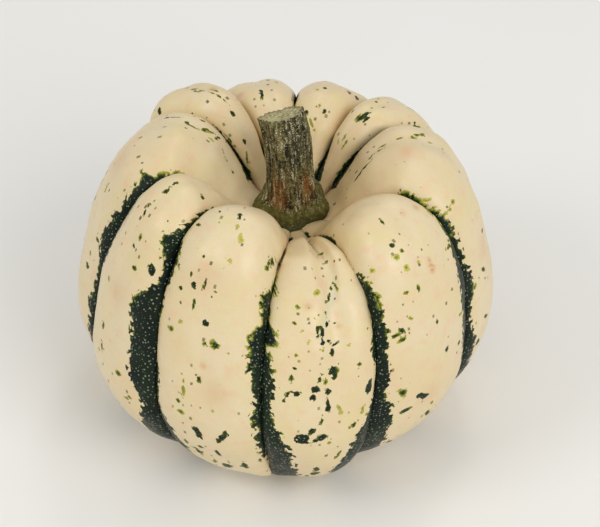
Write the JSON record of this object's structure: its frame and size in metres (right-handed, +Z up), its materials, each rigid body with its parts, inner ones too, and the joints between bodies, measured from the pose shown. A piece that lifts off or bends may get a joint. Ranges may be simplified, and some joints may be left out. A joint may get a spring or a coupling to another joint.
{
  "type": "acorn squash",
  "caption": "Squat, deeply ribbed winter squash with a short woody stem, standing on its blossom end.",
  "frame": {"origin": "middle of the flat spot at the blossom end that the squash stands on", "axes": "+Z up along the core of the fruit towards the stem, -Y out of the narrow double rib that faces the viewer, +X to the viewer's right"},
  "size_m": [0.1209, 0.1172, 0.108],
  "materials": {
    "rind": "satin",
    "stem": "matte"
  },
  "bodies": {
    "root": {"fruit": "rind", "stem": "stem"}
  },
  "joints": []
}
